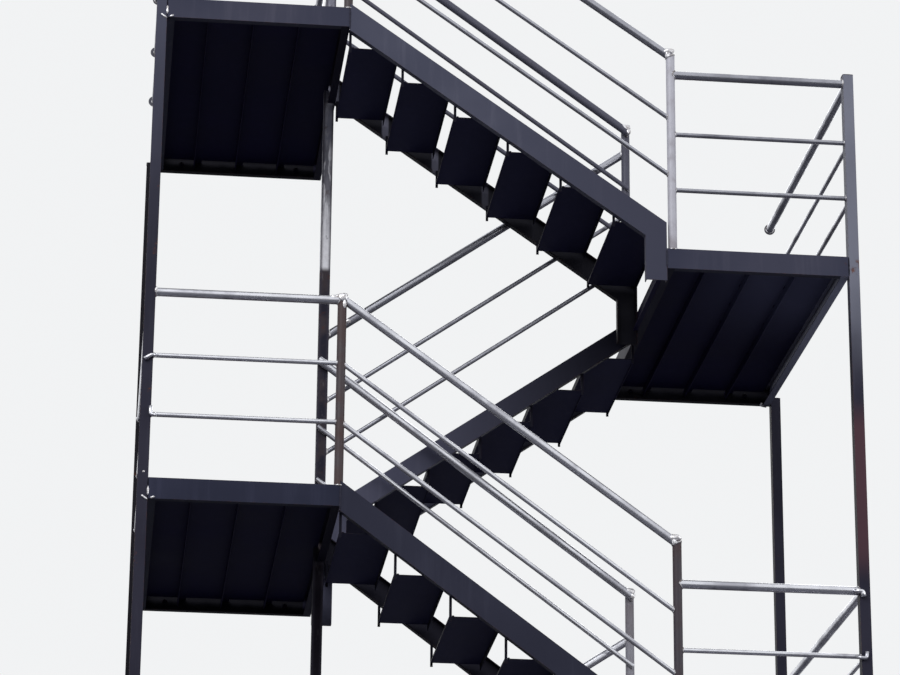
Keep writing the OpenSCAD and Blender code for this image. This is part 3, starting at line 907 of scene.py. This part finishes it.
def front_lumps(i):
    """Weld lumps and beads at the two newels, the head post and the left post of a flight in
    the front lane."""
    edge = -END_X - FACE_GAP
    lumps = lumps_at(rail_point(i, 0, FOOT_NEWEL), NEWEL_LUMPS, i)
    lumps += lumps_at(inner_point(i, 0, INNER_FOOT, LAP_Y), INNER_NEWEL_LUMPS, i + 2)
    for m, ((x, z), radii) in enumerate(HEAD_LUMPS):
        y = math.sqrt(max(0.015 ** 2, NEWEL_R ** 2 - x ** 2))
        lumps.append(lump(rail_point(i, 0, HEAD_POST) + (x, -y, z), radii, i + m))
    lumps += lumps_at((edge, FRONT_Y, FRAME_TOP[i]), LEFT_POST_LUMPS, i, 0)
    for m, ends in enumerate(CORNER_BEADS):
        p, q = ((edge + x, FRONT_Y - FACE_GAP, FRAME_LOW[i] + z) for x, z in ends)
        lumps.append(line_weld(p, q, CORNER_BEAD, i + m))
    return lumps


def rear_lumps(i):
    """Weld lumps on a rear flight's rail by the head post, and where its rails meet the middle
    post."""
    at = inner_point(i, 0, RUN - REAR_LUMP_X, INNER_Y + RAIL_SIDE - RAIL_R[0]) + (0, 0, 0.004)
    lumps = [lump(at, REAR_LUMP, i)]
    for j in range(3):
        at = inner_point(i, j, RUN + COLUMN_IN, LAP_Y + 0.012) - (0, 0, 0.004)
        lumps.append(lump(at, COLUMN_LUMP, i + j))
    return lumps


# Operators

class STAIR_OT_stage(bpy.types.Operator):
    """Pale floor, soft light and the camera"""
    bl_idname = "stair.stage"
    bl_label = "Stage"

    def execute(self, context):
        scene = context.scene
        yaw, pitch, roll = (math.radians(a) for a in (YAW, PITCH, ROLL))
        level = math.cos(pitch)
        ahead = Vector((math.sin(yaw) * level, math.cos(yaw) * level, math.sin(pitch)))
        right = Vector((math.cos(yaw), -math.sin(yaw), 0))
        up = right.cross(ahead)
        across = right * math.cos(roll) + up * math.sin(roll)
        upright = up * math.cos(roll) - right * math.sin(roll)
        lens = bpy.data.cameras.new("camera")
        lens.sensor_fit, lens.sensor_width = "HORIZONTAL", SENSOR_W
        lens.lens = FOCAL / IMAGE_W * SENSOR_W
        lens.clip_end = 500
        camera = bpy.data.objects.new("camera", lens)
        turn = Matrix((across, upright, -ahead)).transposed().to_4x4()
        camera.matrix_world = Matrix.Translation(EYE) @ turn
        scene.collection.objects.link(camera)
        scene.camera = camera

        mesh = bpy.data.meshes.new("floor")
        h = FLOOR_HALF
        mesh.from_pydata([(-h, -h, 0), (h, -h, 0), (h, h, 0), (-h, h, 0)], [], [(0, 1, 2, 3)])
        floor = bpy.data.objects.new("floor", mesh)
        scene.collection.objects.link(floor)
        made = bpy.data.materials.new("Pale floor")
        s = cleared(made)
        seen = s.node("LightPath", out="Is Camera Ray")
        colour = seen.mix((0.09, 0.09, 0.11, 1), (0.80, 0.80, 0.79, 1))
        surface = s.node("BsdfPrincipled", None, {"Base Color": colour, "Roughness": 0.9})
        s.node("OutputMaterial", None, {"Surface": surface})
        mesh.materials.append(made)

        world = bpy.data.worlds.new("Studio")
        s = cleared(world)
        seen = s.node("LightPath", out="Is Camera Ray") + s.node("LightPath", out="Is Glossy Ray")
        seen = (seen + s.node("LightPath", out="Is Transmission Ray")).clip()
        light = s.node("Background", None, {"Color": (0.92, 0.95, 1.0, 1), "Strength": 0.62})
        plain = s.node("Background", None, {"Color": (0.93, 0.94, 0.95, 1), "Strength": 0.95})
        both = s.node("MixShader", None, {0: seen, 1: light, 2: plain})
        s.node("OutputWorld", None, {"Surface": both})
        scene.world = world

        for name, place, size, power in LAMPS:
            lamp = bpy.data.lights.new(name, "AREA")
            lamp.size, lamp.energy = size, power
            made = bpy.data.objects.new(name, lamp)
            made.location = place
            aim = Vector(LAMP_AIM) - made.location
            made.rotation_euler = aim.to_track_quat("-Z", "Y").to_euler()
            scene.collection.objects.link(made)
        scene.view_settings.view_transform = "Standard"
        return {"FINISHED"}


class STAIR_OT_cad_finish(bpy.types.Operator):
    """Gives every piece of the frame its paint or metal"""
    bl_idname = "stair.cad_finish"
    bl_label = "Paint the Frame"

    def execute(self, context):
        finish = {part["node"]: part["material_slot"] for part in frame["record"]["subparts"]}
        for i in FLIGHTS:
            if climbs_left(i):
                finish[f"flight_{i}_guards"] = "pipe_brown_posts" if i < 7 else "pipe_grey_newels"
        for name in ("landing_6_guard", "landing_7_guard", "flight_6_guards"):
            finish[name] = "pipe_dull"
        for name in ("landing_6_frame", "landing_7_frame"):
            finish[name] = "faded_paint"
        finish["flight_6_stringers"] = "shaded_stringer_paint"
        finish["flight_7_stringers"] = "top_stringer_paint"
        for name, node in NODES.items():
            node.data.materials.clear()
            node.data.materials.append(material(finish[name]))
        return {"FINISHED"}


class STAIR_OT_rail_welds(bpy.types.Operator):
    """Weld beads round the ends of all the rails and at the feet of the guard posts"""
    bl_idname = "stair.rail_welds"
    bl_label = "Rail Welds"

    def execute(self, context):
        bead = context.scene.stair_sizes.rail_bead
        groups = {i: [] for i in FLIGHTS}
        for n, (i, point, direction, radius, meet) in enumerate(rail_ends()):
            size = bead * (1.25 if radius == RAIL_R[0] else 1.0)
            groups[i].append(saddle_weld(point, direction, radius, meet, size, n * 1.7))
        for i, beads in groups.items():
            if climbs_left(i):
                beads += post_beads(i, bead) + lap_welds(i, bead)
            piece(f"landing_{i}_rail_welds", beads, "weld")
        return {"FINISHED"}


class STAIR_OT_rail_tips(bpy.types.Operator):
    """Bent ends of the level rails on the front posts, and the weld lumps"""
    bl_idname = "stair.rail_tips"
    bl_label = "Rail Tips"

    def execute(self, context):
        bars, lumps = [], []
        for i in FLIGHTS:
            bars += bent_tips(i)
            lumps += front_lumps(i) if climbs_left(i) else rear_lumps(i)
        low = FRAME_LOW[6] - 0.003
        corner = [(END_X - x, WALL_Y - y, low) for x, y in REAR_CORNER]
        lumps.append(bent_bar(corner, CORNER_BEAD))
        piece("rail_tips", bars, "pipe_steel")
        piece("weld_lumps", lumps, "bright_weld")
        return {"FINISHED"}


class STAIR_OT_stringer_welds(bpy.types.Operator):
    """Weld beads where the stringers meet the landing frames at their heads and feet"""
    bl_idname = "stair.stringer_welds"
    bl_label = "Stringer Welds"

    def execute(self, context):
        bead = context.scene.stair_sizes.steel_bead
        parts = []
        for i in FLIGHTS:
            x, foot = lane_x(i, 0), lane_x(i, RUN)
            low = top_z(i, 0) - string_h(i)
            for k, (y, inner) in enumerate(((0.0, FLANGE), (LANE_W, LANE_W - FLANGE))):
                y, inner = lane_y(i) + y, lane_y(i) + inner
                head, heel = FRAME_TOP[i] - 2 * INSET, low + INSET
                parts.append(line_weld((x, y, head), (x, y, heel + INSET), bead, i + k))
                parts.append(line_weld((x, y, heel), (x, inner, heel), bead, i + k + 2))
                if i > 1:
                    head, heel = FRAME_TOP[i - 1] - 2 * INSET, FRAME_LOW[i - 1] + INSET
                    parts.append(line_weld((foot, y, head), (foot, y, heel), bead, i + k + 4))
        piece("stringer_welds", parts, "painted_weld")
        return {"FINISHED"}


class STAIR_OT_foot_angles(bpy.types.Operator):
    """Small angles along the landing's end channel, between the two feet of each flight"""
    bl_idname = "stair.foot_angles"
    bl_label = "Foot Angles"

    def execute(self, context):
        leg, t = context.scene.stair_sizes.foot_angle, ANGLE_T
        tall = leg * ANGLE_TALL
        across, up = np.array([(0, 0), (leg, 0), (leg, t), (t, t), (t, tall), (0, tall)]).T
        parts = []
        for i in FLIGHTS[1:]:
            ends = lane_y(i) + np.array((FLANGE + INSET, LANE_W - FLANGE - INSET))
            x = lane_x(i, RUN) + side(i) * (0.0005 + across)
            corner = np.stack([x, 0 * x, FRAME_LOW[i - 1] + up], -1)
            parts.append(loft(corner[None] + ends[:, None, None] * (0, 1, 0)))
        piece("foot_angles", parts, "deck_steel", smooth=False)
        return {"FINISHED"}


class STAIR_OT_tread_welds(bpy.types.Operator):
    """Short welds that hold the treads and their hangers to the stringers"""
    bl_idname = "stair.tread_welds"
    bl_label = "Tread Welds"

    def execute(self, context):
        bead = context.scene.stair_sizes.steel_bead
        for i in FLIGHTS:
            parts = []
            for k in range(1, RISERS):
                x = (k - 1) * GOING
                a, b, c = (lane_x(i, x + d) for d in (0, HANGER_W, HANGER_W + TREAD_STITCH))
                low = top_z(i, x) - string_h(i)
                z = DECK[i] - k * riser(i) + INSET
                for m, y in enumerate((lane_y(i) + FLANGE, lane_y(i) + LANE_W - FLANGE)):
                    hanger = (a, y, low + 2 * INSET), (b, y, low - 2 * INSET)
                    parts.append(line_weld(*hanger, bead * 0.8, k + m))
                    parts.append(line_weld((b, y, z), (c, y, z), bead * 0.7, k + m + 3))
            piece(f"flight_{i}_tread_welds", parts, "under_weld")
        return {"FINISHED"}


class STAIR_OT_deck_welds(bpy.types.Operator):
    """Stitch welds between each deck, its bearers and its frame, and frame corners"""
    bl_idname = "stair.deck_welds"
    bl_label = "Deck Welds"

    def execute(self, context):
        bead = context.scene.stair_sizes.steel_bead
        for i in FLIGHTS:
            low, high = FRAME_BOX[i]
            z, under = DECK[i], DECK[i] - DECK_T
            first, last = low + STITCH_START, high - STITCH_END
            parts = []
            for y in np.arange(first[1], last[1], STITCH_PITCH):
                for x in (low[0] + FLANGE, high[0] - FLANGE):
                    parts.append(line_weld((x, y, z), (x, y + STITCH, z), bead * 0.8, x + y))
            for x in np.arange(first[0], last[0], STITCH_PITCH):
                for y in (low[1] + FLANGE, high[1] - FLANGE):
                    parts.append(line_weld((x, y, z), (x + STITCH, y, z), bead * 0.8, x - y))
            for x in (low[0], high[0]):
                for y in (low[1], high[1]):
                    foot, head = (x, y, low[2] + INSET), (x, y, high[2] - INSET)
                    parts.append(line_weld(foot, head, bead * 0.7, x + 3 * y))
            for k in (1, 2, 3):
                x = low[0] + k * (high[0] - low[0]) / 4 - BEARER_HALF_W
                for y in np.arange(low[1] + STITCH_END, last[1], BEARER_PITCH):
                    ends = (x, y, under), (x, y + BEARER_STITCH, under)
                    parts.append(line_weld(*ends, bead * 0.9, k + y))
            piece(f"landing_{i}_deck_welds", parts, "under_weld")
        return {"FINISHED"}


class STAIR_OT_anchors(bpy.types.Operator):
    """Anchor studs with washer and nut in the base plates and the wall channels"""
    bl_idname = "stair.anchors"
    bl_label = "Anchors"

    def execute(self, context):
        parts = []
        rows = (FRONT_Y + POST_W / 2, WALL_Y - PLATE_W / 2)
        feet = [(s * POST_X, y) for s in (-1, 1) for y in rows]
        corners = [(x * BOLT_SPACING / 2, y * BOLT_SPACING / 2) for x in (-1, 1) for y in (-1, 1)]
        for x, y in feet + [(COLUMN_X, COLUMN_Y)]:
            for dx, dy in corners:
                parts += bolt((x + dx, y + dy, PLATE_T), (0, 0, 1), FOOT_ANCHOR_D)
        piece("foot_anchors", parts, "zinc", smooth=False)
        parts = []
        for i in FLIGHTS:
            low, high = FRAME_BOX[i]
            for x in (low[0] + WALL_ANCHOR_IN, high[0] - WALL_ANCHOR_IN):
                at = (x, WALL_Y - WEB, (low[2] + high[2]) / 2)
                parts += bolt(at, (0, -1, 0), WALL_ANCHOR_D)
        piece("wall_anchors", parts, "under_weld", smooth=False)
        return {"FINISHED"}


class STAIR_OT_post_caps(bpy.types.Operator):
    """Welded lids on the square posts, and the welds at their feet"""
    bl_idname = "stair.post_caps"
    bl_label = "Post Caps"

    def execute(self, context):
        bead = context.scene.stair_sizes.steel_bead
        h = POST_W / 2
        front, rear = FRONT_Y + h, WALL_Y - h
        over = RAIL_H[0] + POST_OVER
        posts = ((-POST_X, front, FRAME_TOP[7] + over), (POST_X, front, FRAME_TOP[6] + over),
                 (-POST_X, rear, FRAME_LOW[7] + POST_OVER),
                 (POST_X, rear, FRAME_LOW[6] + POST_OVER),
                 (COLUMN_X, COLUMN_Y, FRAME_TOP[7] + over))
        lids, welds = [], []
        for n, (x, y, top) in enumerate(posts):
            lids.append(pad((x, y), [(top + up, h - inwards) for up, inwards in LID]))
            corners = [np.array((x + a * h, y + b * h, 0))
                       for a, b in ((-1, -1), (1, -1), (1, 1), (-1, 1))]
            for k in range(4):
                for z, size in ((PLATE_T, bead), (top, bead * 0.4)):
                    ends = corners[k] + (0, 0, z), corners[k - 1] + (0, 0, z)
                    welds.append(line_weld(*ends, size, n + k))
        piece("post_lids", lids, "post_paint", smooth=False)
        piece("post_welds", welds, "painted_weld")
        return {"FINISHED"}


class STAIR_OT_chequer_plate(bpy.types.Operator):
    """Raised lozenges on the treads and the landing decks"""
    bl_idname = "stair.chequer_plate"
    bl_label = "Chequer Plate"

    def execute(self, context):
        sizes = context.scene.stair_sizes
        pattern = sizes.chequer_pitch, sizes.chequer_height
        edge, rim = CHEQUER_EDGE, FLANGE + CHEQUER_EDGE
        for i in FLIGHTS:
            parts = []
            for k in range(1, RISERS):
                a, b = sorted(lane_x(i, (k - 1) * GOING + d) for d in (0, TREAD_D))
                low, high = (a + edge, lane_y(i) + rim), (b - edge, lane_y(i) + LANE_W - rim)
                parts.append(chequer(low, high, DECK[i] - k * riser(i), *pattern))
            piece(f"flight_{i}_chequer", parts, "tread_steel", smooth=False)
            low, high = FRAME_BOX[i]
            parts = [chequer(low[:2] + rim, high[:2] - rim, DECK[i], *pattern)]
            piece(f"landing_{i}_chequer", parts, "deck_steel", smooth=False)
        return {"FINISHED"}


class StairSizes(bpy.types.PropertyGroup):
    rail_bead: bpy.props.FloatProperty(
        name="Rail weld", description="Radius of the weld bead round a rail",
        default=0.0045, unit="LENGTH")
    steel_bead: bpy.props.FloatProperty(
        name="Steel weld", description="Radius of the weld beads on channels and plates",
        default=0.005, unit="LENGTH")
    foot_angle: bpy.props.FloatProperty(
        name="Foot angle", description="Width of the angles between the feet of a flight",
        default=0.028, unit="LENGTH")
    chequer_pitch: bpy.props.FloatProperty(
        name="Chequer pitch", description="Distance between the raised lozenges",
        default=0.038, unit="LENGTH")
    chequer_height: bpy.props.FloatProperty(
        name="Chequer height", description="Height of the raised lozenges",
        default=0.0014, unit="LENGTH")


class StairColours(bpy.types.PropertyGroup):
    paint: bpy.props.FloatVectorProperty(
        name="Paint", description="Blue-grey paint of the steel",
        default=rgb(39, 40, 56)[:3], subtype="COLOR", min=0, max=1)
    # The blue of this colour is painted shade on the undersides of treads, decks and their welds
    underside: bpy.props.FloatVectorProperty(
        name="Underside", description="Dark steel of treads and decks",
        default=rgb(29, 26, 57)[:3], subtype="COLOR", min=0, max=1)
    # Darker than the tube of the lower guards: painted shade on the backlit upper rails
    pipe: bpy.props.FloatVectorProperty(
        name="Pipe", description="Bare tube of the upper guards",
        default=rgb(176, 177, 186)[:3], subtype="COLOR", min=0, max=1)
    rust: bpy.props.FloatVectorProperty(
        name="Rust", description="Darkest rust",
        default=rgb(74, 44, 36)[:3], subtype="COLOR", min=0, max=1)


OPERATORS = (
    STAIR_OT_stage, STAIR_OT_cad_finish, STAIR_OT_rail_welds, STAIR_OT_rail_tips,
    STAIR_OT_stringer_welds, STAIR_OT_foot_angles, STAIR_OT_tread_welds, STAIR_OT_deck_welds,
    STAIR_OT_anchors, STAIR_OT_post_caps, STAIR_OT_chequer_plate)


class STAIR_PT_panel(bpy.types.Panel):
    """Sizes, colours and the steps that finish the stair"""
    bl_idname = "STAIR_PT_panel"
    bl_label = "Fire Escape Stair"
    bl_space_type = "VIEW_3D"
    bl_region_type = "UI"
    bl_category = "Stair"

    def draw(self, context):
        column = self.layout.column()
        for group in (context.scene.stair_sizes, context.scene.stair_colours):
            for name in group.__annotations__:
                column.prop(group, name)
        for step in OPERATORS:
            column.operator(step.bl_idname)


CLASSES = (StairSizes, StairColours) + OPERATORS + (STAIR_PT_panel,)


def register():
    for made in CLASSES:
        bpy.utils.register_class(made)
    bpy.types.Scene.stair_sizes = bpy.props.PointerProperty(type=StairSizes)
    bpy.types.Scene.stair_colours = bpy.props.PointerProperty(type=StairColours)


def unregister():
    del bpy.types.Scene.stair_colours
    del bpy.types.Scene.stair_sizes
    for made in reversed(CLASSES):
        bpy.utils.unregister_class(made)


def main():
    register()
    for step in OPERATORS:
        group, name = step.bl_idname.split(".")
        getattr(getattr(bpy.ops, group), name)()


if __name__ == "__main__":
    main()
